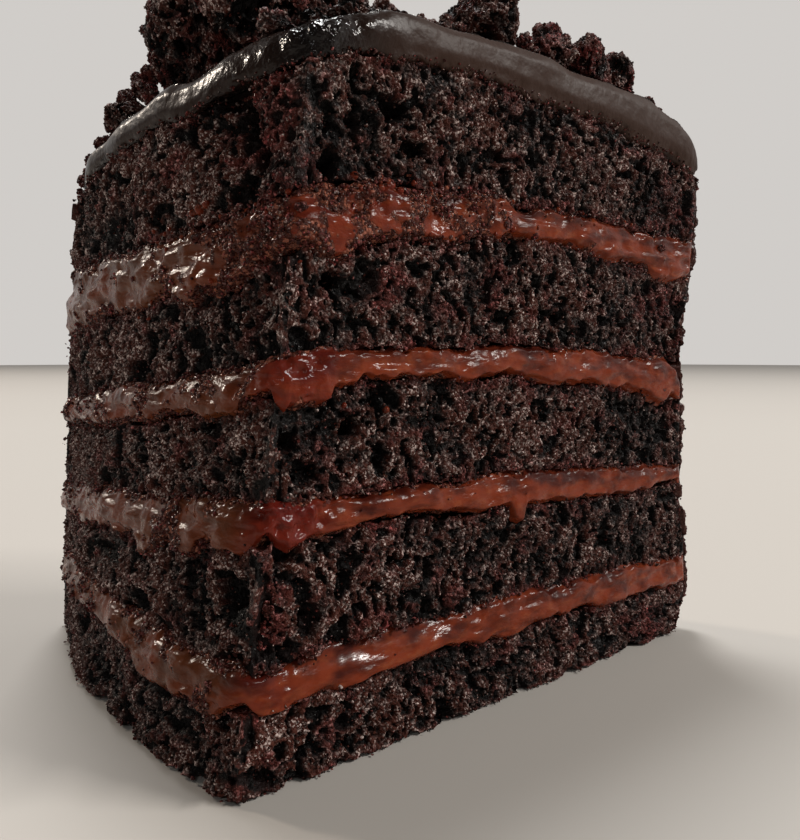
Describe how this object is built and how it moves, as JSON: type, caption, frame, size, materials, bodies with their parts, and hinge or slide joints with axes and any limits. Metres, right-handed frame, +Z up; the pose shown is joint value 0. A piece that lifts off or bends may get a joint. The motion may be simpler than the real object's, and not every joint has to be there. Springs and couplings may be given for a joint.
{
  "type": "chocolate layer cake piece",
  "caption": "Cut piece of a tall round chocolate layer cake with chocolate filling, glossy glaze and torn cake heaped on top.",
  "frame": {"origin": "middle of the whole box in plan, on the surface that the cake stands on", "axes": "+Z up; the long cut face looks along -Y and the short cut face along -X, so the front corner is at -X -Y and the round rim at +X +Y"},
  "size_m": [0.1248, 0.1012, 0.1438],
  "materials": {
    "sponge": "open dark chocolate crumb, moist, matte with small glints",
    "filling": "smooth glossy red-brown chocolate filling",
    "glaze": "near-black chocolate glaze, glossy on top and satin where cut",
    "frosting": "thin brown chocolate frosting, spread by knife, soft gloss",
    "crumb": "torn dark chocolate cake, rough and matte with small glints"
  },
  "bodies": {
    "root": {"sponge_1": "sponge", "sponge_2": "sponge", "sponge_3": "sponge", "sponge_4": "sponge", "sponge_5": "sponge", "filling_1": "filling", "filling_2": "filling", "filling_3": "filling", "filling_4": "filling", "glaze_top": "glaze", "side_coat": "frosting", "crumb_bed": "crumb", "chunk_1": "crumb", "chunk_2": "crumb", "chunk_3": "crumb", "chunk_4": "crumb", "chunk_5": "crumb", "chunk_6": "crumb", "chunk_7": "crumb", "chunk_8": "crumb", "chunk_9": "crumb", "chunk_10": "crumb", "chunk_11": "crumb", "chunk_12": "crumb", "chunk_13": "crumb", "chunk_14": "crumb", "chunk_15": "crumb"}
  },
  "joints": []
}
